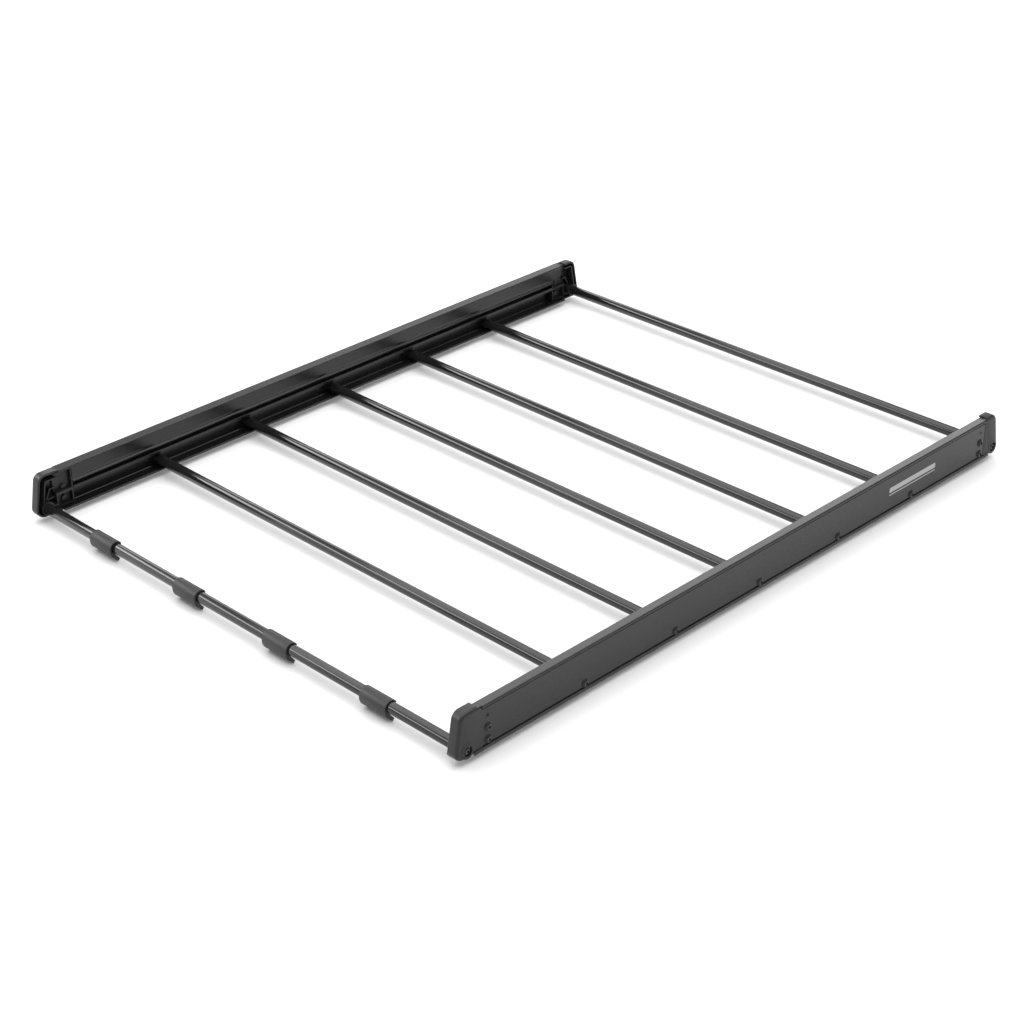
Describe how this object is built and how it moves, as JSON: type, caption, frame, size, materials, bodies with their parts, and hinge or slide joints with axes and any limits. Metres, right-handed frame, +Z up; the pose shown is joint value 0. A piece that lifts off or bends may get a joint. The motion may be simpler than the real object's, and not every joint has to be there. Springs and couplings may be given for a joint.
{
  "type": "roof cargo basket",
  "caption": "Low roof cargo basket: two slotted side rails with moulded end caps, round cross tubes between them and clip-on wind clips along the front tube.",
  "frame": {"origin": "middle of the basket at the level of the wind clips' tails, its lowest points; the rails' underside is 8.5 mm higher", "axes": "+X from the left rail to the right rail, +Y from the front tube with the wind clips to the rear tube, +Z up"},
  "size_m": [0.791, 0.9996, 0.0665],
  "materials": {
    "rail_black": "black anodised, satin",
    "tube_black": "black powder coat, satin",
    "cap_plastic": "black, fine texture",
    "clip_plastic": "grey-black, matt",
    "screw_black": "black zinc",
    "washer_steel": "zinc plated",
    "plug_aluminium": "as turned"
  },
  "bodies": {
    "basket": {"crossbar_1": "tube_black", "crossbar_2": "tube_black", "crossbar_3": "tube_black", "crossbar_4": "tube_black", "crossbar_5": "tube_black", "front_crossbar": "tube_black", "front_left_cap": "cap_plastic", "front_right_cap": "cap_plastic", "left_bar_screws": "screw_black", "left_cap_screws": "screw_black", "left_end_screws": "screw_black", "left_end_washers": "washer_steel", "left_rail": "rail_black", "left_tube_plugs": "plug_aluminium", "rear_crossbar": "tube_black", "rear_left_cap": "cap_plastic", "rear_right_cap": "cap_plastic", "right_bar_screws": "screw_black", "right_cap_screws": "screw_black", "right_end_screws": "screw_black", "right_end_washers": "washer_steel", "right_rail": "rail_black", "right_tube_plugs": "plug_aluminium"},
    "wind_clip_1_body": {"wind_clip_1": "clip_plastic"},
    "wind_clip_2_body": {"wind_clip_2": "clip_plastic"},
    "wind_clip_3_body": {"wind_clip_3": "clip_plastic"},
    "wind_clip_4_body": {"wind_clip_4": "clip_plastic"}
  },
  "joints": [
    {"name": "wind_clip_1_slide", "type": "slide", "parent": "basket", "child": "wind_clip_1_body", "axis": [1, 0, 0], "range_m": [-0.06, 0.06]},
    {"name": "wind_clip_2_slide", "type": "slide", "parent": "basket", "child": "wind_clip_2_body", "axis": [1, 0, 0], "range_m": [-0.06, 0.06]},
    {"name": "wind_clip_3_slide", "type": "slide", "parent": "basket", "child": "wind_clip_3_body", "axis": [1, 0, 0], "range_m": [-0.06, 0.06]},
    {"name": "wind_clip_4_slide", "type": "slide", "parent": "basket", "child": "wind_clip_4_body", "axis": [1, 0, 0], "range_m": [-0.06, 0.06]}
  ]
}
